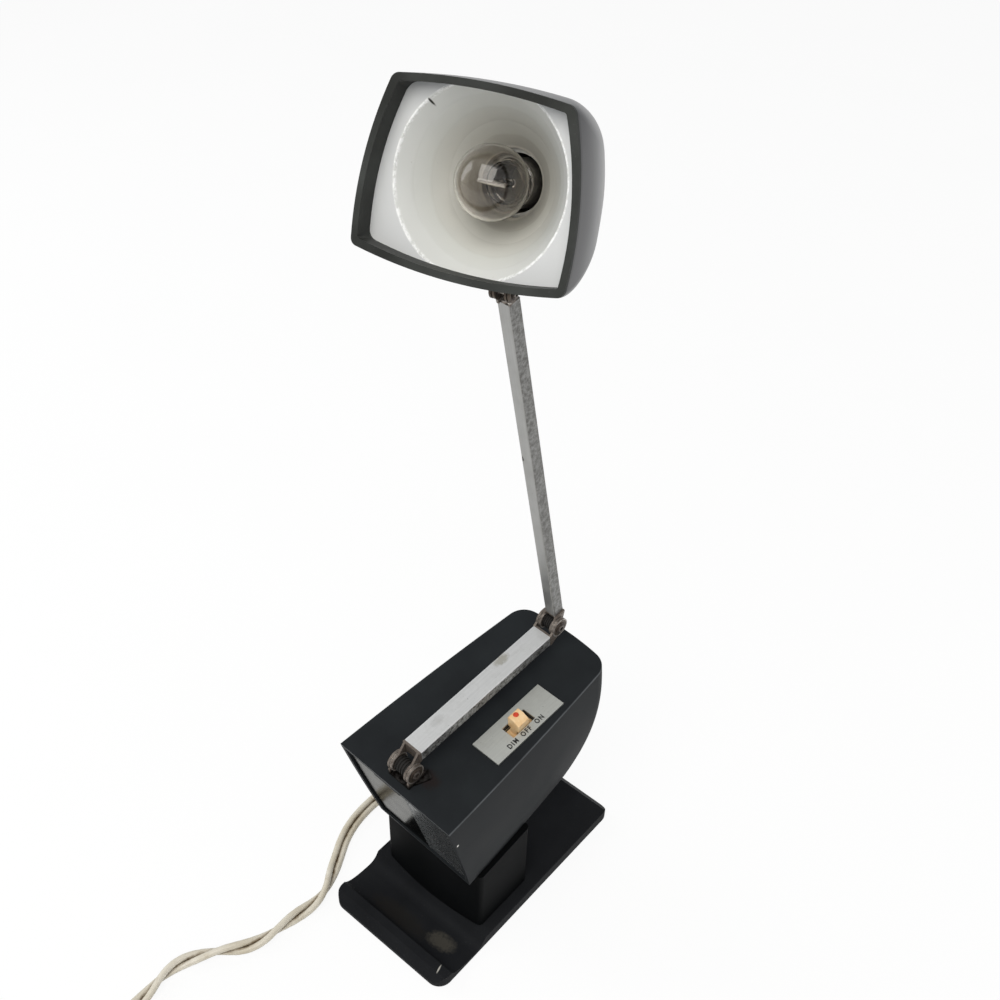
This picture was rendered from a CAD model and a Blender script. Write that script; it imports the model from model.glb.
from math import cos, pi, radians, sin, tau

import bpy
from mathutils import Matrix, Vector


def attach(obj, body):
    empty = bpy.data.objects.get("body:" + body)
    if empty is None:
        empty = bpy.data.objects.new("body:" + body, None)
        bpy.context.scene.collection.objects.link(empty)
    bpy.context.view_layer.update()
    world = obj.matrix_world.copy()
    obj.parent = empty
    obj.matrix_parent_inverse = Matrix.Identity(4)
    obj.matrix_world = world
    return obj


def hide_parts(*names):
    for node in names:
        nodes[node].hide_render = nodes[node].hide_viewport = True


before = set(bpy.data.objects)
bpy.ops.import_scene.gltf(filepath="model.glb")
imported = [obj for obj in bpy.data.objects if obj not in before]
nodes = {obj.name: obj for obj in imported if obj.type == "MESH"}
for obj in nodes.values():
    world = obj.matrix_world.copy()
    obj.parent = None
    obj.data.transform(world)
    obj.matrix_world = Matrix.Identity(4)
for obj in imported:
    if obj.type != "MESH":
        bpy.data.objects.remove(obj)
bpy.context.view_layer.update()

mm = 0.001


# Places on the posed lamp
def at(x, y, z):
    """A shift by these mm."""
    return Matrix.Translation((x * mm, y * mm, z * mm))


def turned(degrees, axis):
    return Matrix.Rotation(radians(degrees), 4, axis)


def turn_of(matrix):
    return tuple(matrix.to_euler("XYZ"))


# Frames of the lamp's bodies, each on the one before, with the part's own places and angles
swivel = at(0, -13.5, 47) @ turned(5.6, "X")
housing = swivel @ turned(-2.5, "Z") @ at(0, -31, 61.2)
pivot = housing @ at(0, 7.9, 6.1)
elbow = pivot @ at(0, 87.5, 9.3) @ turned(96.6, "X")
wrist = elbow @ at(0, 182.8, -2.7) @ turned(14.2, "Y")
head = wrist @ at(0, 0, 2) @ turned(-34.5, "X")
bowl = head @ at(0, 33.1, 35.5)


# Shader helpers
def linear(hex_code):
    """sRGB hex to the linear colour that a shader takes."""
    channels = [int(hex_code[i:i + 2], 16) / 255 for i in (1, 3, 5)]
    straight = [c / 12.92 if c <= 0.04045 else ((c + 0.055) / 1.055) ** 2.4 for c in channels]
    return (*straight, 1.0)


def feed(tree, node, inputs):
    """Gives a node's inputs their values, or their links written as (node, output)."""
    for key, value in inputs.items():
        if isinstance(value, tuple) and isinstance(value[0], bpy.types.Node):
            tree.links.new(value[0].outputs[value[1]], node.inputs[key])
        elif isinstance(value, str):
            node.inputs[key].default_value = linear(value)
        else:
            node.inputs[key].default_value = value


def add(tree, kind, inputs, stops=(), **settings):
    """Adds a node with its settings, its values and links, and the stops of its ramp."""
    node = tree.nodes.new("ShaderNode" + kind)
    for key, value in settings.items():
        setattr(node, key, value)
    while stops and len(node.color_ramp.elements) < len(stops):
        node.color_ramp.elements.new(0.5)
    for number, (position, colour) in enumerate(stops):
        element = node.color_ramp.elements[number]
        element.position = position
        element.color = linear(colour) if isinstance(colour, str) else (colour, colour, colour, 1.0)
    feed(tree, node, inputs)
    return node


def new_material(name, **constants):
    """A material with its Principled shader, and constants on the shader's own sockets."""
    made = bpy.data.materials.new(name)
    made.use_nodes = True
    tree = made.node_tree
    shader = tree.nodes["Principled BSDF"]
    feed(tree, shader, {key.replace("_", " "): value for key, value in constants.items()})
    return made, tree, shader, add(tree, "TexCoord", {})


def per(size_mm):
    """Noise scale for features of this real size."""
    return 1.0 / (size_mm * mm)


def mark(centre, half_sizes, tone, grain_mm, strength=1.0, turn=(0, 0, 0)):
    """A stain, rub or nick: its middle and half sizes in mm, its tone, how coarsely it breaks up,
    how strong it is in its middle, and how it is turned."""
    return {"centre": centre, "half_sizes": half_sizes, "tone": tone, "grain_mm": grain_mm,
            "strength": strength, "turn": turn}


def blemish(tree, place, under, spot):
    """The colour under, with a mark over it."""
    centred = add(tree, "Mapping", {
        "Vector": (place, "Object"), "Location": tuple(c * mm for c in spot["centre"]),
        "Rotation": spot["turn"], "Scale": tuple(size * mm for size in spot["half_sizes"]),
    }, vector_type="TEXTURE")
    near = add(tree, "TexGradient", {"Vector": (centred, "Vector")}, gradient_type="SPHERICAL")
    grain = add(tree, "TexNoise", {
        "Vector": (place, "Object"), "Scale": per(spot["grain_mm"]), "Detail": 4.0,
        "Roughness": 0.7})
    broken = add(tree, "Math", {0: (near, "Fac"), 1: (grain, "Fac")}, operation="MULTIPLY")
    mask = add(tree, "ValToRGB", {"Fac": (broken, "Value")}, [
        (0.12, 0.0), (0.30, spot["strength"])])
    return add(tree, "Mix", {
        "Factor": (mask, "Color"), "A": under, "B": spot["tone"]}, data_type="RGBA")


# Moulded ABS, black right through: satin where it left the mould, duller and greyer where hands
# and dusters rubbed it, with dust in its fine grain
def moulded_abs(name, tone, worn, satin, dull, dust, level, marks=(), band=None):
    """satin and dull are roughnesses, dust is how strongly the dust shows, level is the strength
    of the reflection, and band is a line of another tone, as (frame, axis, start in mm, end in mm,
    tone)."""
    rubbed_mm = 26.0
    dust_mm = 0.9       # drawn coarser than real dust, so that it shows
    grain_mm = 0.6      # the mould's spark grain, drawn coarser than real, so that it shows
    made, tree, shader, place = new_material(name, IOR=1.53, Specular_IOR_Level=level)
    handling = add(tree, "TexNoise", {
        "Vector": (place, "Object"), "Scale": per(rubbed_mm), "Detail": 5.0, "Roughness": 0.55})
    colour = add(tree, "ValToRGB", {"Fac": (handling, "Fac")}, [(0.34, tone), (0.74, worn)])
    speck = add(tree, "TexNoise", {
        "Vector": (place, "Object"), "Scale": per(dust_mm), "Detail": 2.0, "Roughness": 0.6})
    dusty = add(tree, "ValToRGB", {"Fac": (speck, "Fac")}, [(0.66, 0.0), (0.78, dust)])
    colour = add(tree, "Mix", {
        "Factor": (dusty, "Color"), "A": (colour, "Color"), "B": "#77777a"}, data_type="RGBA")
    for spot in marks:
        colour = blemish(tree, place, (colour, "Result"), spot)
    if band:
        base, axis, start, end, band_tone = band
        local = add(tree, "Mapping", {
            "Vector": (place, "Object"), "Location": tuple(base.translation),
            "Rotation": turn_of(base)}, vector_type="TEXTURE")
        along = add(tree, "SeparateXYZ", {"Vector": (local, "Vector")})
        across = add(tree, "MapRange", {
            "Value": (along, axis), "From Min": start * mm, "From Max": end * mm})
        line = add(tree, "ValToRGB", {"Fac": (across, "Result")}, [
            (0.0, 0.0), (0.2, 1.0), (0.8, 1.0), (1.0, 0.0)])
        worn_line = add(tree, "Math", {
            0: (line, "Color"), 1: (handling, "Fac")}, operation="MULTIPLY")
        colour = add(tree, "Mix", {
            "Factor": (worn_line, "Value"), "A": (colour, "Result"), "B": band_tone,
        }, data_type="RGBA")
    rough = add(tree, "ValToRGB", {"Fac": (handling, "Fac")}, [(0.3, satin), (0.75, dull)])
    grain = add(tree, "TexNoise", {
        "Vector": (place, "Object"), "Scale": per(grain_mm), "Detail": 2.0})
    bump = add(tree, "Bump", {"Height": (grain, "Fac"), "Strength": 0.06, "Distance": 0.08 * mm})
    feed(tree, shader, {
        "Base Color": (colour, "Result"), "Roughness": (rough, "Color"),
        "Normal": (bump, "Normal")})
    return made


# Plated hinge steel: turned leaves whose plating has dulled to brown grey, brighter on the rubbed
# rims, with rust in patches and a foot that has gone nearly black
def hinge_steel(name, centre, rim_mm, foot):
    """foot gives the heights along Z, in mm, between which the steel goes from black to grey."""
    rust_mm = 1.9
    grit_mm = 0.4       # rust grit, drawn coarser than real, so that it shows
    foot_low, foot_high = foot
    made, tree, shader, place = new_material(name)
    local = add(tree, "Mapping", {
        "Vector": (place, "Object"), "Location": tuple(centre.translation),
        "Rotation": turn_of(centre)}, vector_type="TEXTURE")
    flat = add(tree, "Mapping", {"Vector": (local, "Vector"), "Scale": (0.0, 1.0, 1.0)})
    reach = add(tree, "VectorMath", {0: (flat, "Vector")}, operation="LENGTH")
    share = add(tree, "Math", {0: (reach, "Value"), 1: rim_mm * mm}, operation="DIVIDE")
    rings = add(tree, "ValToRGB", {"Fac": (share, "Value")}, [
        (0.0, "#1d1916"), (0.20, "#2b2521"), (0.28, "#8f8983"), (0.36, "#5c5550"),
        (0.50, "#443d39"), (0.60, "#62584f"), (0.84, "#53493f"), (0.91, "#b9b3ac"),
        (0.97, "#c9c4be"), (1.0, "#7c736b")])
    spread = add(tree, "TexNoise", {
        "Vector": (place, "Object"), "Scale": per(rust_mm), "Detail": 6.0, "Roughness": 0.7})
    rusted = add(tree, "ValToRGB", {"Fac": (spread, "Fac")}, [(0.38, 0.85), (0.54, 0.0)])
    grit = add(tree, "TexNoise", {
        "Vector": (place, "Object"), "Scale": per(grit_mm), "Detail": 3.0})
    rust = add(tree, "ValToRGB", {"Fac": (grit, "Fac")}, [(0.35, "#28211d"), (0.68, "#54473d")])
    colour = add(tree, "Mix", {
        "Factor": (rusted, "Color"), "A": (rings, "Color"), "B": (rust, "Color")},
        data_type="RGBA")
    height = add(tree, "SeparateXYZ", {"Vector": (local, "Vector")})
    shaded = add(tree, "MapRange", {
        "Value": (height, "Z"), "From Min": foot_high * mm, "From Max": foot_low * mm})
    colour = add(tree, "Mix", {
        "Factor": (shaded, "Result"), "A": (colour, "Result"), "B": "#161210"}, data_type="RGBA")
    metal = add(tree, "ValToRGB", {"Fac": (spread, "Fac")}, [(0.38, 0.1), (0.54, 0.8)])
    rough = add(tree, "ValToRGB", {"Fac": (spread, "Fac")}, [(0.38, 0.75), (0.54, 0.36)])
    bump = add(tree, "Bump", {"Height": (grit, "Fac"), "Strength": 0.4, "Distance": 0.1 * mm})
    feed(tree, shader, {
        "Base Color": (colour, "Result"), "Metallic": (metal, "Color"),
        "Roughness": (rough, "Color"), "Normal": (bump, "Normal")})
    return made


# Drawn aluminium tube or strip: satin, with the draw lines along it, cloudy where it has
# oxidised, pitted, and with grime that has stayed on its sides
def drawn_aluminium(name, bright, dim, grimy, base, side, marks=()):
    """side gives an axis of base, and where on it, in mm, the clean metal ends and grime begins."""
    line_mm = 0.5       # draw lines, drawn coarser than real, so that they show
    line_squeeze = 0.02     # along the metal they change this much less than across it
    cloud_mm = 7.0
    pit_mm = 0.8
    grime_mm = 1.5
    made, tree, shader, place = new_material(name, Metallic=0.8)
    local = add(tree, "Mapping", {
        "Vector": (place, "Object"), "Location": tuple(base.translation),
        "Rotation": turn_of(base)}, vector_type="TEXTURE")
    drawn = add(tree, "Mapping", {"Vector": (local, "Vector"), "Scale": (1.0, line_squeeze, 1.0)})
    lines = add(tree, "TexNoise", {
        "Vector": (drawn, "Vector"), "Scale": per(line_mm), "Detail": 3.0, "Roughness": 0.6})
    colour = add(tree, "ValToRGB", {"Fac": (lines, "Fac")}, [(0.25, dim), (0.75, bright)])
    cloud = add(tree, "TexNoise", {
        "Vector": (place, "Object"), "Scale": per(cloud_mm), "Detail": 4.0, "Roughness": 0.6})
    clouded = add(tree, "ValToRGB", {"Fac": (cloud, "Fac")}, [(0.48, 0.0), (0.78, 0.28)])
    colour = add(tree, "Mix", {
        "Factor": (clouded, "Color"), "A": (colour, "Color"), "B": "#989792"}, data_type="RGBA")
    for spot in marks:
        colour = blemish(tree, place, (colour, "Result"), spot)
    pits = add(tree, "TexNoise", {
        "Vector": (place, "Object"), "Scale": per(pit_mm), "Detail": 3.0})
    pitted = add(tree, "ValToRGB", {"Fac": (pits, "Fac")}, [(0.70, 0.0), (0.77, 0.6)])
    colour = add(tree, "Mix", {
        "Factor": (pitted, "Color"), "A": (colour, "Result"), "B": "#5b574f"}, data_type="RGBA")
    axis, clean, dirty = side
    across = add(tree, "SeparateXYZ", {"Vector": (local, "Vector")})
    beside = add(tree, "MapRange", {
        "Value": (across, axis), "From Min": clean * mm, "From Max": dirty * mm})
    grime = add(tree, "TexNoise", {
        "Vector": (place, "Object"), "Scale": per(grime_mm), "Detail": 5.0, "Roughness": 0.7})
    grime_mask = add(tree, "ValToRGB", {"Fac": (grime, "Fac")}, [(0.40, 0.35), (0.62, 0.95)])
    grimed = add(tree, "Math", {
        0: (beside, "Result"), 1: (grime_mask, "Color")}, operation="MULTIPLY")
    colour = add(tree, "Mix", {
        "Factor": (grimed, "Value"), "A": (colour, "Result"), "B": grimy}, data_type="RGBA")
    rough = add(tree, "ValToRGB", {"Fac": (cloud, "Fac")}, [(0.3, 0.36), (0.7, 0.48)])
    bump = add(tree, "Bump", {"Height": (lines, "Fac"), "Strength": 0.08, "Distance": 0.05 * mm})
    feed(tree, shader, {
        "Base Color": (colour, "Result"), "Roughness": (rough, "Color"),
        "Normal": (bump, "Normal")})
    return made


# Spun aluminium under white lacquer: a sparkling crease where the bowl leaves the flat, soft
# turning rings that grow darker towards the bulb, a pale throat, and small chips in the lacquer
def white_reflector(name, marks):
    full_reach_mm = 40.0    # the rings' and the crease's places are shares of this reach
    waver_mm = 12.0
    waver_depth_mm = 1.8
    chip_mm = 1.4
    made, tree, shader, place = new_material(name, Metallic=0.12, IOR=1.5)
    centred = add(tree, "Mapping", {
        "Vector": (place, "Object"), "Location": tuple(bowl.translation),
        "Rotation": turn_of(bowl)}, vector_type="TEXTURE")
    flat = add(tree, "Mapping", {"Vector": (centred, "Vector"), "Scale": (1.0, 1.0, 0.0)})
    reach = add(tree, "VectorMath", {0: (flat, "Vector")}, operation="LENGTH")
    waver = add(tree, "TexNoise", {
        "Vector": (place, "Object"), "Scale": per(waver_mm), "Detail": 3.0})
    wavering = add(tree, "Math", {
        0: (waver, "Fac"), 1: waver_depth_mm * mm, 2: (reach, "Value")}, operation="MULTIPLY_ADD")
    share = add(tree, "MapRange", {
        "Value": (wavering, "Value"), "From Min": waver_depth_mm / 2 * mm,
        "From Max": (full_reach_mm + waver_depth_mm / 2) * mm})
    rings = add(tree, "ValToRGB", {"Fac": (share, "Result")}, [
        (0.0, "#c4c0b7"), (0.262, "#c4c0b7"), (0.275, "#a3a199"), (0.345, "#afada5"),
        (0.36, "#c2c1b9"), (0.44, "#c7c6bf"), (0.455, "#cccbc4"), (0.52, "#cdcdc7"),
        (0.535, "#d3d4cf"), (0.605, "#d5d6d2"), (0.62, "#dbdcd9"), (1.0, "#d4d5d2")])
    true_share = add(tree, "Math", {
        0: (reach, "Value"), 1: full_reach_mm * mm}, operation="DIVIDE")
    outer = add(tree, "ValToRGB", {"Fac": (true_share, "Value")}, [(0.70, 0.0), (0.712, 1.0)])
    colour = add(tree, "Mix", {
        "Factor": (outer, "Color"), "A": (rings, "Color"), "B": "#d3d4d4"}, data_type="RGBA")
    crease = add(tree, "ValToRGB", {"Fac": (true_share, "Value")}, [
        (0.682, 0.0), (0.690, 1.0), (0.702, 1.0), (0.710, 0.0)])
    chips = add(tree, "TexNoise", {
        "Vector": (place, "Object"), "Scale": per(chip_mm), "Detail": 4.0, "Roughness": 0.7})
    sparkle = add(tree, "ValToRGB", {"Fac": (chips, "Fac")}, [(0.42, 0.1), (0.56, 1.0)])
    sparkling = add(tree, "Math", {
        0: (crease, "Color"), 1: (sparkle, "Color")}, operation="MULTIPLY")
    colour = add(tree, "Mix", {
        "Factor": (sparkling, "Value"), "A": (colour, "Result"), "B": "#ffffff"},
        data_type="RGBA")
    for spot in marks:
        colour = blemish(tree, place, (colour, "Result"), spot)
    chipped = add(tree, "ValToRGB", {"Fac": (chips, "Fac")}, [(0.70, 0.0), (0.78, 0.5)])
    colour = add(tree, "Mix", {
        "Factor": (chipped, "Color"), "A": (colour, "Result"), "B": "#8f897c"}, data_type="RGBA")
    rough = add(tree, "ValToRGB", {"Fac": (chips, "Fac")}, [(0.3, 0.28), (0.7, 0.42)])
    feed(tree, shader, {"Base Color": (colour, "Result"), "Roughness": (rough, "Color")})
    return made


# Chromed end plate: the left half still smooth and bright, then, past a sharp line, duller metal
# under a web of fine scratches that thins out to the right
def scratched_chrome(name):
    cloud_mm = 10.0
    web_mm = 3.2
    scrape_mm = 1.6
    line_from_mm, line_to_mm = 2.6, 3.6
    web_full_mm, web_faded_mm = 8, 20
    made, tree, shader, place = new_material(name, Specular_Tint="#b4b4b2")
    local = add(tree, "Mapping", {
        "Vector": (place, "Object"), "Location": tuple(housing.translation),
        "Rotation": turn_of(housing)}, vector_type="TEXTURE")
    cloud = add(tree, "TexNoise", {
        "Vector": (local, "Vector"), "Scale": per(cloud_mm), "Detail": 4.0, "Roughness": 0.6})
    colour = add(tree, "ValToRGB", {"Fac": (cloud, "Fac")}, [
        (0.35, "#525250"), (0.6, "#70706e"), (0.8, "#83837f")])
    across = add(tree, "SeparateXYZ", {"Vector": (local, "Vector")})
    worn_side = add(tree, "MapRange", {
        "Value": (across, "X"), "From Min": line_from_mm * mm, "From Max": line_to_mm * mm})
    web_fade = add(tree, "MapRange", {
        "Value": (across, "X"), "From Min": web_faded_mm * mm, "From Max": web_full_mm * mm,
        "To Min": 0.12})
    web_lines = add(tree, "TexVoronoi", {
        "Vector": (local, "Vector"), "Scale": per(web_mm), "Randomness": 1.0},
        feature="DISTANCE_TO_EDGE")
    web = add(tree, "ValToRGB", {"Fac": (web_lines, "Distance")}, [(0.0, 1.0), (0.09, 0.0)])
    scrape = add(tree, "TexNoise", {
        "Vector": (local, "Vector"), "Scale": per(scrape_mm), "Detail": 7.0, "Roughness": 0.8,
        "Distortion": 2.0})
    scraped = add(tree, "ValToRGB", {"Fac": (scrape, "Fac")}, [(0.46, 0.0), (0.60, 0.85)])
    both = add(tree, "Math", {0: (web, "Color"), 1: (scraped, "Color")}, operation="MAXIMUM")
    fading = add(tree, "Math", {
        0: (both, "Value"), 1: (web_fade, "Result")}, operation="MULTIPLY")
    worn = add(tree, "Math", {
        0: (fading, "Value"), 1: (worn_side, "Result")}, operation="MULTIPLY")
    dulled = add(tree, "Math", {0: (worn_side, "Result"), 1: 0.8}, operation="MULTIPLY")
    colour = add(tree, "Mix", {
        "Factor": (dulled, "Value"), "A": (colour, "Color"), "B": "#85888a"}, data_type="RGBA")
    colour = add(tree, "Mix", {
        "Factor": (worn, "Value"), "A": (colour, "Result"), "B": "#5e6163"}, data_type="RGBA")
    metal = add(tree, "MapRange", {
        "Value": (worn_side, "Result"), "To Min": 1.0, "To Max": 0.75})
    rough = add(tree, "MapRange", {"Value": (worn, "Value"), "To Min": 0.14, "To Max": 0.5})
    bump = add(tree, "Bump", {"Height": (scrape, "Fac"), "Strength": 0.18, "Distance": 0.08 * mm})
    feed(tree, shader, {
        "Base Color": (colour, "Result"), "Metallic": (metal, "Result"),
        "Roughness": (rough, "Result"), "Normal": (bump, "Normal")})
    return made


# Everyday metals, plastics, board, felt and ink of the small and hidden pieces: two close tones
# and a fine grain
def plain_stock(name, tone, second, feature_mm, rough=0.5, metal=0.0, grain_depth_mm=0.05):
    grain_mm = feature_mm / 8
    made, tree, shader, place = new_material(name, Metallic=metal, Roughness=rough)
    cloud = add(tree, "TexNoise", {
        "Vector": (place, "Object"), "Scale": per(feature_mm), "Detail": 3.0})
    colour = add(tree, "ValToRGB", {"Fac": (cloud, "Fac")}, [(0.35, tone), (0.7, second)])
    grain = add(tree, "TexNoise", {
        "Vector": (place, "Object"), "Scale": per(grain_mm), "Detail": 2.0})
    bump = add(tree, "Bump", {
        "Height": (grain, "Fac"), "Strength": 0.15, "Distance": grain_depth_mm * mm})
    feed(tree, shader, {"Base Color": (colour, "Color"), "Normal": (bump, "Normal")})
    return made


# Ivory PVC, yellowed with age, with brown dirt in the groove between the two strands of the flex
def aged_pvc(name, groove):
    yellowed_mm = 16.0
    soil_mm = 4.5
    made, tree, shader, place = new_material(name, IOR=1.52, Roughness=0.4)
    cloud = add(tree, "TexNoise", {
        "Vector": (place, "Object"), "Scale": per(yellowed_mm), "Detail": 4.0})
    colour = add(tree, "ValToRGB", {"Fac": (cloud, "Fac")}, [
        (0.3, "#bdb39e"), (0.55, "#cfc8b8"), (0.8, "#ddd7cb")])
    spots = add(tree, "TexNoise", {
        "Vector": (place, "Object"), "Scale": per(soil_mm), "Detail": 5.0, "Roughness": 0.7})
    soiled = add(tree, "ValToRGB", {"Fac": (spots, "Fac")}, [(0.56, 0.0), (0.76, 0.5)])
    colour = add(tree, "Mix", {
        "Factor": (soiled, "Color"), "A": (colour, "Color"), "B": "#9a8867"}, data_type="RGBA")
    if groove:
        round_strand = add(tree, "UVMap", {}, uv_map="strand")
        angle = add(tree, "SeparateXYZ", {"Vector": (round_strand, "UV")})
        inner = add(tree, "ValToRGB", {"Fac": (angle, "Y")}, [(0.66, 0.0), (0.92, 1.0)])
        dirt = add(tree, "ValToRGB", {"Fac": (spots, "Fac")}, [(0.36, 0.25), (0.62, 1.0)])
        both = add(tree, "Math", {0: (inner, "Color"), 1: (dirt, "Color")}, operation="MULTIPLY")
        colour = add(tree, "Mix", {
            "Factor": (both, "Value"), "A": (colour, "Result"), "B": "#6e5b40"}, data_type="RGBA")
    feed(tree, shader, {"Base Color": (colour, "Result")})
    return made


# Clear blown glass of the bulb, faintly smoked on the inside by its filament
def blown_glass(name):
    smoke_mm = 9.0
    made, tree, shader, place = new_material(name, Transmission_Weight=1.0, IOR=1.45)
    smoke = add(tree, "TexNoise", {
        "Vector": (place, "Object"), "Scale": per(smoke_mm), "Detail": 2.0})
    tone = add(tree, "ValToRGB", {"Fac": (smoke, "Fac")}, [(0.3, "#dbd6cf"), (0.7, "#e9e5e0")])
    rough = add(tree, "ValToRGB", {"Fac": (smoke, "Fac")}, [(0.5, 0.0), (0.9, 0.02)])
    feed(tree, shader, {"Base Color": (tone, "Color"), "Roughness": (rough, "Color")})
    return made


# Marks of use, each at its own place on the posed lamp
housing_turn = turn_of(housing)
scratch_turn = tuple(Vector((0.3, 0.9, -1.1)).to_track_quat("Y", "Z").to_euler("XYZ"))
smudge_centre = tuple(c / mm for c in bowl @ Vector((24 * mm, -22 * mm, 0)))
dust_patch = mark(
    (18.5, -44.5, 3), (11, 7, 4), "#57534a", grain_mm=1.5, strength=0.42, turn=(0, 0, 0.2))
lip_nick = mark(
    (28.0, -56.4, 7.2), (0.6, 3.2, 2), "#a9a69e", grain_mm=3, turn=(0, 0, 0.25))
trough_rub = mark((-4, -48, 4), (26, 9, 5), "#211f1c", grain_mm=2.5, strength=0.6)
side_fleck = mark((30.1, -46.4, 91.6), (0.9, 0.9, 0.9), "#e8e6e0", grain_mm=3)
foot_rust = mark(
    (7, -38.5, 106.2), (9, 6, 4), "#261a16", grain_mm=2.4, strength=0.5, turn=housing_turn)
arm_stain = mark(
    (-1.2, 15, 126), (3.4, 6.4, 3), "#8d866c", grain_mm=1.1, strength=0.5, turn=housing_turn)
arm_spots = mark(
    (-1.4, -24, 122), (3, 6, 3), "#8f8c86", grain_mm=0.7, strength=0.2, turn=housing_turn)
arm_nick = mark((-0.1, 21.4, 230.4), (1.6, 1.6, 2.4), "#4a4946", grain_mm=2)
reflector_scratch = mark(
    (-18.1, -4.7, 366.1), (0.55, 3.4, 0.55), "#2c2a27", grain_mm=5, turn=scratch_turn)
reflector_smudge = mark(smudge_centre, (5, 4, 9), "#9f9a90", grain_mm=1.1, strength=0.6)

base_abs = moulded_abs(
    "black_abs_base", "#18191b", "#202123", satin=0.50, dull=0.62, dust=0.08, level=0.04,
    marks=(trough_rub, dust_patch, lip_nick))
pedestal_abs = moulded_abs(
    "black_abs_pedestal", "#0a0b0c", "#0f1011", satin=0.54, dull=0.64, dust=0.03, level=0.03)
housing_abs = moulded_abs(
    "black_abs_housing", "#1f2123", "#26292b", satin=0.46, dull=0.56, dust=0.04, level=0.045,
    marks=(foot_rust, side_fleck), band=(housing, "Z", -1.3, -0.2, "#6c6f72"))
head_abs = moulded_abs(
    "black_abs_head", "#38383a", "#454547", satin=0.26, dull=0.34, dust=0.05, level=0.55,
    band=(head, "Z", 33.2, 34.6, "#080808"))
rim_abs = moulded_abs(
    "black_abs_rim", "#292a28", "#404240", satin=0.44, dull=0.58, dust=0.12, level=0.12)
pivot_steel = hinge_steel("dulled_steel_lower_hinge", pivot, rim_mm=4.4, foot=(-5.0, -2.6))
elbow_steel = hinge_steel("dulled_steel_elbow", elbow, rim_mm=4.4, foot=(-9.0, -8.0))
head_hinge_steel = hinge_steel("dulled_steel_head_hinge", head, rim_mm=4.0, foot=(-9.0, -8.0))
lower_aluminium = drawn_aluminium(
    "drawn_aluminium_lower_arm", "#e6e6e5", "#dbdbda", "#4d4a46", base=pivot,
    side=("Z", 8.3, 7.8), marks=(arm_stain, arm_spots))
upper_aluminium = drawn_aluminium(
    "drawn_aluminium_upper_arm", "#a8a8a6", "#9c9c9a", "#5f5e5b", base=elbow,
    side=("X", 2.45, 2.65), marks=(arm_nick,))
legend_aluminium = drawn_aluminium(
    "satin_aluminium_legend", "#d2d3cd", "#c7c8c2", "#8c8b86", base=housing,
    side=("Z", 0.4, -0.1))
lacquered = white_reflector(
    "white_lacquered_reflector", marks=(reflector_scratch, reflector_smudge))
chrome = scratched_chrome("scratched_chrome")
zinc = plain_stock(
    "zinc_plated_steel", "#a9a8a2", "#c2c1bb", feature_mm=4, rough=0.38, metal=0.9)
cream = plain_stock("cream_urea_knob", "#e0b884", "#eccfa4", feature_mm=3, rough=0.4)
red = plain_stock("red_enamel_dot", "#cf4426", "#b93a22", feature_mm=1.2, rough=0.32)
loose_ivory = aged_pvc("aged_ivory_pvc_flex", groove=True)
moulded_ivory = aged_pvc("aged_ivory_pvc_mouldings", groove=False)
fibre = plain_stock("pressed_fibre", "#0c0a08", "#15110e", feature_mm=1.2, rough=0.85)
felt = plain_stock(
    "black_wool_felt", "#17171a", "#26262a", feature_mm=0.8, rough=0.95, grain_depth_mm=0.3)
iron = plain_stock(
    "cast_iron_ballast", "#3b3b3d", "#4a4a4b", feature_mm=4, rough=0.6, metal=0.6,
    grain_depth_mm=0.2)
laminated = plain_stock(
    "laminated_core_steel", "#46474a", "#5c5b58", feature_mm=2, rough=0.5, metal=0.8)
tape = plain_stock("varnished_winding_tape", "#a8924a", "#c2ab62", feature_mm=3, rough=0.45)
brass = plain_stock("bare_brass", "#b08d4a", "#c9a866", feature_mm=2, rough=0.35, metal=1.0)
cap_nickel = plain_stock(
    "dulled_nickel_cap", "#8a8782", "#a7a49e", feature_mm=1.5, rough=0.4, metal=0.8)
bright_wire = plain_stock(
    "bright_support_wire", "#e4e2dd", "#ffffff", feature_mm=1, rough=0.16, metal=1.0)
lead_cover = plain_stock("grey_lead_cover", "#35353a", "#46464b", feature_mm=2, rough=0.6)
ink = plain_stock("black_print_ink", "#141414", "#202020", feature_mm=2, rough=0.6)
glass = blown_glass("clear_blown_glass")

# The pieces that have each finish
finishes = {
    base_abs: ["base_moulding"],
    pedestal_abs: ["pedestal"],
    housing_abs: ["housing_shell"],
    head_abs: ["head_shell"],
    rim_abs: ["bezel"],
    pivot_steel: ["pivot_bracket", "pivot_rivet", "lower_arm_yoke", "pivot_washers"],
    elbow_steel: ["elbow_ears", "elbow_rivet", "upper_arm_yoke", "elbow_washers"],
    head_hinge_steel: ["head_swivel_yoke", "head_bracket", "head_rivet", "head_washers"],
    zinc: ["base_screws", "swivel_tube", "swivel_nuts", "swivel_plate", "switch_body",
           "transformer_strap", "transformer_screws", "head_screws", "socket_shell",
           "socket_spring", "socket_strap"],
    lower_aluminium: ["lower_arm_tube"],
    upper_aluminium: ["upper_arm_tube"],
    lacquered: ["reflector"],
    chrome: ["end_plate"],
    legend_aluminium: ["switch_plate"],
    cream: ["switch_slider"],
    red: ["slider_dot"],
    moulded_ivory: ["strain_relief", "cord_tube", "cord_coil", "plug_body"],
    fibre: ["fibre_washer", "pivot_spacer", "elbow_spacer", "head_bush", "socket_insulator"],
    felt: ["felt_pad"],
    iron: ["ballast_plate"],
    laminated: ["transformer_core"],
    tape: ["transformer_winding"],
    brass: ["plug_blades"],
    cap_nickel: ["bulb_cap"],
    bright_wire: ["filament"],
    lead_cover: ["lower_arm_leads", "upper_arm_leads"],
    glass: ["bulb_glass", "bulb_stem"],
}
for finish, names in finishes.items():
    for name in names:
        for slot in nodes[name].material_slots:
            slot.material = finish


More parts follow.
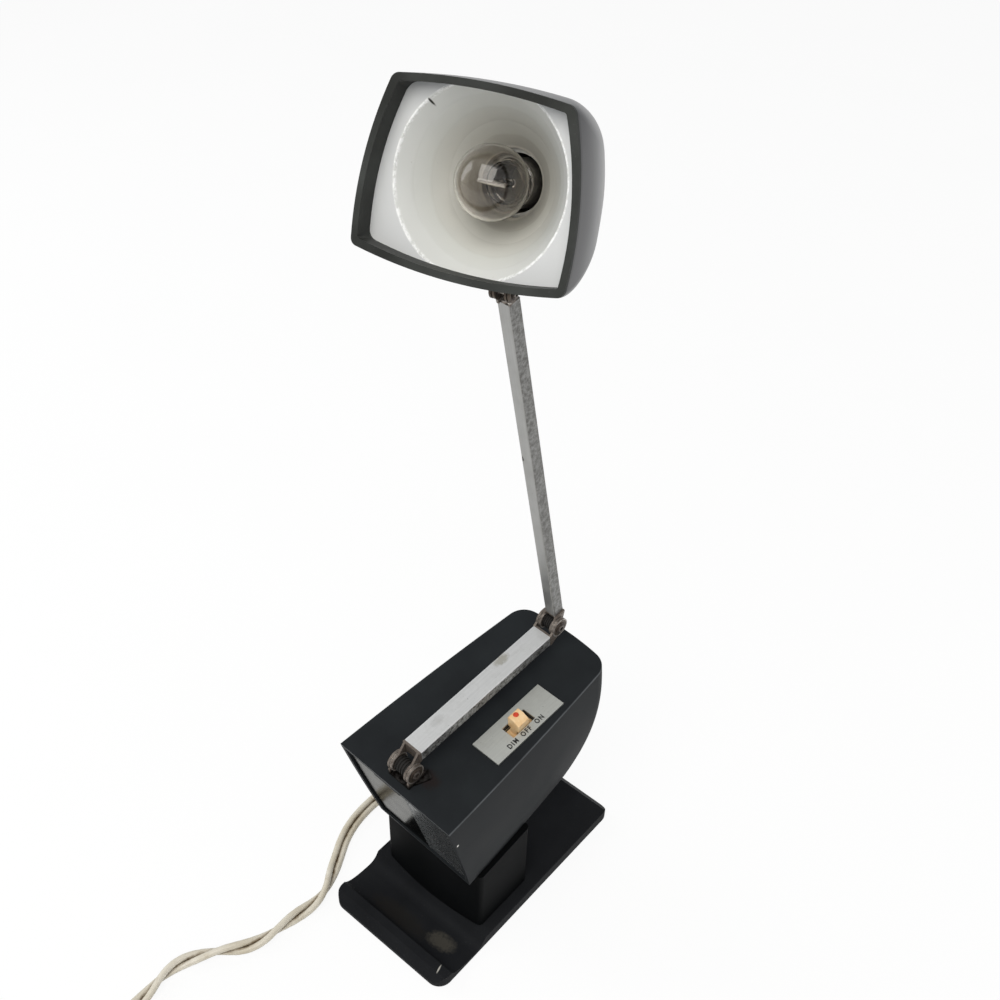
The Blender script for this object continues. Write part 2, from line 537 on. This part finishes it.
# Twin flex: the route of the part, then the coil's turns, as control points of one spline in mm
route = [
    (-13.0, 23.1, 20.0), (-13.0, 40.0, 20.0), (-25.2, 52.2, 18.6), (-42.4, 52.6, 13.6),
    (-54.6, 40.6, 7.0), (-56.4, 21.6, 3.5), (-55.2, 3.0, 3.3), (-57.2, -15.4, 3.2),
    (-54.2, -33.2, 3.2), (-44.6, -49.4, 3.2), (-36.6, -65.4, 3.2), (-40.0, -83.0, 3.2),
    (-42.0, -101.0, 3.2), (-54.4, -115.0, 3.2), (-62.6, -131.6, 3.2), (-58.4, -150.6, 3.2),
    (-60.5, -169.2, 3.2), (-60.5, -183.8, 3.2),
]
coil_centre = Vector((-14.3, -190.0, 0.0))
coil_outer = 46.2
coil_step = 6.7
halves_in = 6
halves_out = 6
points_per_half = 8
tail_rise = 6.2
strand_mm = 3.1
flex_mm = 6.2
point_spacing = 1.6 * mm
flat_run = 160 * mm
twist_length = 54 * mm
first_turn = 0.35


def half_turn_ends():
    """Reach and height at each end of a half turn: in, up one layer, and out again."""
    reach, low = coil_outer, route[-1][2]
    high = low + coil_step
    found = [(reach - coil_step / 2 * count, low) for count in range(halves_in + 1)]
    reach -= coil_step / 2 * (halves_in + 1)
    found.append((reach, high))
    found.extend((reach + coil_step * (1 + count / 2), high) for count in range(halves_out))
    return found


def coil_turns(ends):
    """Control points of the half turns, alternately left and right of the coil's middle."""
    points = []
    for number, ((near, low), (far, high)) in enumerate(zip(ends, ends[1:])):
        side = -1 if number % 2 == 0 else 1
        middle = side * (near - far) / 2
        radius = (near + far) / 2 / cos(pi / points_per_half / 2)
        for step in range(points_per_half):
            share = (step + 0.5) / points_per_half
            points.append((
                coil_centre.x + middle + side * radius * cos(pi * share),
                coil_centre.y + side * radius * sin(pi * share),
                low + (high - low) * share,
            ))
    return points


def spline_points(controls, resolution):
    """Points read from the NURBS spline through these controls, in metres."""
    data = bpy.data.curves.new("route", "CURVE")
    data.dimensions = "3D"
    data.resolution_u = resolution
    line = data.splines.new("NURBS")
    line.points.add(len(controls) - 1)
    for point, (x, y, z) in zip(line.points, controls):
        point.co = (x * mm, y * mm, z * mm, 1.0)
    line.order_u = 3
    line.use_endpoint_u = True
    holder = bpy.data.objects.new("route", data)
    bpy.context.collection.objects.link(holder)
    mesh = bpy.data.meshes.new_from_object(holder)
    points = [vertex.co.copy() for vertex in mesh.vertices]
    bpy.data.objects.remove(holder)
    bpy.data.curves.remove(data)
    bpy.data.meshes.remove(mesh)
    return points


def evenly_spaced(points, spacing):
    """The same line with points at an even spacing."""
    found, carried = [points[0]], 0.0
    for before, after in zip(points, points[1:]):
        length = (after - before).length
        while carried + length >= spacing:
            before = before + (after - before) * ((spacing - carried) / length)
            length = (after - before).length
            found.append(before)
            carried = 0.0
        carried += length
    if (points[-1] - found[-1]).length > spacing / 4:
        found.append(points[-1])
    return found


def twist(travelled):
    """The strands lie side by side until they pass the base, then turn about once every 54 mm."""
    return first_turn + tau * max(0.0, travelled - flat_run) / twist_length


def twin_flex(name, points):
    """Two insulated strands side by side that turn about the line, as one mesh. Its UV map runs
    along a strand and round it, with the groove between the strands at the top of the map."""
    sides = 12
    offset = (flex_mm - strand_mm) / 2 * mm
    vertices, faces, rows = [], [], []
    travelled = [0.0]
    for before, after in zip(points, points[1:]):
        travelled.append(travelled[-1] + (after - before).length)
    for strand in (-1, 1):
        start = len(vertices)
        for index, point in enumerate(points):
            ahead = points[min(index + 1, len(points) - 1)]
            behind = points[max(index - 1, 0)]
            along = (ahead - behind).normalized()
            across = along.cross(Vector((0, 0, 1))).normalized()
            upward = across.cross(along).normalized()
            turn = twist(travelled[index])
            outwards = across * cos(turn) + upward * sin(turn)
            sideways = upward * cos(turn) - across * sin(turn)
            for side in range(sides):
                angle = tau * side / sides
                spoke = outwards * strand * cos(angle) + sideways * sin(angle)
                vertices.append(point + outwards * offset * strand + spoke * strand_mm / 2 * mm)
                rows.append((travelled[index], (1 - cos(angle)) / 2))
        for index in range(len(points) - 1):
            for side in range(sides):
                a = start + index * sides + side
                b = start + index * sides + (side + 1) % sides
                face = (a, b, b + sides, a + sides)
                faces.append(face if strand == 1 else (b, a, a + sides, b + sides))
        first = [start + side for side in range(sides)]
        last = [start + (len(points) - 1) * sides + side for side in range(sides)]
        faces.append(tuple(reversed(first)) if strand == 1 else tuple(first))
        faces.append(tuple(last) if strand == 1 else tuple(reversed(last)))
    mesh = bpy.data.meshes.new(name)
    mesh.from_pydata(vertices, [], faces)
    strand_map = mesh.uv_layers.new(name="strand")
    for face in mesh.polygons:
        face.use_smooth = len(face.vertices) == 4
        for corner in face.loop_indices:
            strand_map.data[corner].uv = rows[mesh.loops[corner].vertex_index]
    mesh.update()
    piece = bpy.data.objects.new(name, mesh)
    bpy.context.collection.objects.link(piece)
    return piece


ends = half_turn_ends()
last_reach, last_height = ends[-1]
tail = [(coil_centre.x + last_reach, coil_centre.y + rise, last_height)
        for rise in (0.0, tail_rise)]
smooth_line = spline_points(route + coil_turns(ends) + tail, resolution=12)
flex_line = evenly_spaced(smooth_line, point_spacing)
flex = twin_flex("twin_flex", flex_line)
flex.data.materials.append(loose_ivory)
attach(flex, "base")
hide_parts("cord_tube", "cord_coil")


# Words printed on the switch plate: they run along the housing, feet towards its right edge
letter_size = 3.1 * mm
letter_boldness = 0.11 * mm
letter_depth = 0.02 * mm
letter_spacing = 1.35
letter_width = 0.84
row_x_mm = 23.9
plate_top_mm = 0.83


def word(name, text, along_mm):
    """One word, centred this far back along the housing."""
    bpy.ops.object.select_all(action="DESELECT")
    bpy.ops.object.text_add(location=(0, 0, 0))
    made = bpy.context.object
    made.data.body = text
    made.data.size = letter_size
    made.data.extrude = letter_depth
    made.data.offset = letter_boldness
    made.data.space_character = letter_spacing
    made.data.align_x = "CENTER"
    made.data.align_y = "BOTTOM"
    bpy.ops.object.convert(target="MESH")
    made = bpy.context.object
    made.name = name
    condensed = Matrix.Diagonal((letter_width, 1.0, 1.0, 1.0))
    place = at(row_x_mm, along_mm, plate_top_mm) @ turned(90, "Z")
    made.data.transform(housing @ place @ condensed)
    made.matrix_world = Matrix.Identity(4)
    made.data.materials.clear()
    made.data.materials.append(ink)
    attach(made, "housing")


word("word_dim", "DIM", 46.4)
word("word_off", "OFF", 54.3)
word("word_on", "ON", 62.3)


# Light
lamp_target = Vector((0, 0, 0.2))


def lamp(name, place, size, power, tint):
    data = bpy.data.lights.new(name, "AREA")
    data.shape = "SQUARE"
    data.size = size
    data.energy = power
    data.color = linear(tint)[:3]
    made = bpy.data.objects.new(name, data)
    made.location = place
    made.rotation_euler = (lamp_target - Vector(place)).to_track_quat("-Z", "Y").to_euler()
    bpy.context.collection.objects.link(made)


lamp("key", (0.2, -0.6, 1.15), size=0.9, power=10.0, tint="#fffdf8")
lamp("left_fill", (-0.95, -0.25, 0.65), size=0.8, power=4.0, tint="#f8fbff")
lamp("right_fill", (0.95, 0.25, 0.75), size=0.7, power=0.8, tint="#fbfbff")
lamp("back_rim", (0.25, 0.95, 0.85), size=0.7, power=0.8, tint="#ffffff")

world = bpy.data.worlds.new("studio")
bpy.context.scene.world = world
world.use_nodes = True
tree = world.node_tree
feed(tree, tree.nodes["Background"], {"Color": "#f4f6f8", "Strength": 0.5})


# Pale paper floor: what the eye, a mirror or a clear glass sees of it is mostly plain white, and
# the rest is lit paper, which keeps the lamp's shadow
floor_width = 6.0
paper_cloud_mm = 120
white_share = 0.9


def mirrored_white(tree):
    """1 where the eye, a mirror or a clear glass looks at the surface, and 0 for its light."""
    ray = add(tree, "LightPath", {})
    seen = add(tree, "Math", {
        0: (ray, "Is Camera Ray"), 1: (ray, "Is Glossy Ray")}, operation="MAXIMUM")
    return add(tree, "Math", {
        0: (seen, "Value"), 1: (ray, "Is Transmission Ray")}, operation="MAXIMUM")


bpy.ops.object.select_all(action="DESELECT")
bpy.ops.mesh.primitive_plane_add(size=floor_width, location=(0, 0, 0))
floor = bpy.context.object
floor.name = "floor"
paper, tree, shader, place = new_material("pale_paper_floor", Roughness=0.9)
cloud = add(tree, "TexNoise", {
    "Vector": (place, "Object"), "Scale": per(paper_cloud_mm), "Detail": 2.0})
paper_tone = add(tree, "ValToRGB", {"Fac": (cloud, "Fac")}, [(0.3, "#f1f1f0"), (0.7, "#f6f6f5")])
feed(tree, shader, {"Base Color": (paper_tone, "Color")})
glow = add(tree, "Emission", {"Color": "#ffffff", "Strength": 1.0})
most = add(tree, "Math", {0: (mirrored_white(tree), "Value"), 1: white_share}, operation="MULTIPLY")
surface = add(tree, "MixShader", {0: (most, "Value"), 1: (shader, "BSDF"), 2: (glow, "Emission")})
feed(tree, tree.nodes["Material Output"], {"Surface": (surface, "Shader")})
floor.data.materials.append(paper)


# Camera, fitted to the photograph's frame of 1000 by 1000 pixels
photo_px = 1000
focal_px = 1210.3
film_mm = 36.0
nearest = 10 * mm
eye = Vector((211.4, -247.9, 505.5)) * mm
yaw, pitch, roll = radians(39.4), radians(-40.8), radians(1.8)
forward = Vector((-sin(yaw) * cos(pitch), cos(yaw) * cos(pitch), sin(pitch)))
level = Vector((cos(yaw), sin(yaw), 0))
upright = level.cross(forward)
right = level * cos(roll) + upright * sin(roll)
up = upright * cos(roll) - level * sin(roll)
view = Matrix((right, up, -forward)).transposed().to_4x4()
view.translation = eye
lens = bpy.data.cameras.new("camera")
lens.sensor_width = film_mm
lens.sensor_fit = "HORIZONTAL"
lens.lens = focal_px / photo_px * film_mm
lens.clip_start = nearest
camera = bpy.data.objects.new("camera", lens)
camera.matrix_world = view
bpy.context.collection.objects.link(camera)
bpy.context.scene.camera = camera
bpy.context.scene.view_settings.view_transform = "Standard"
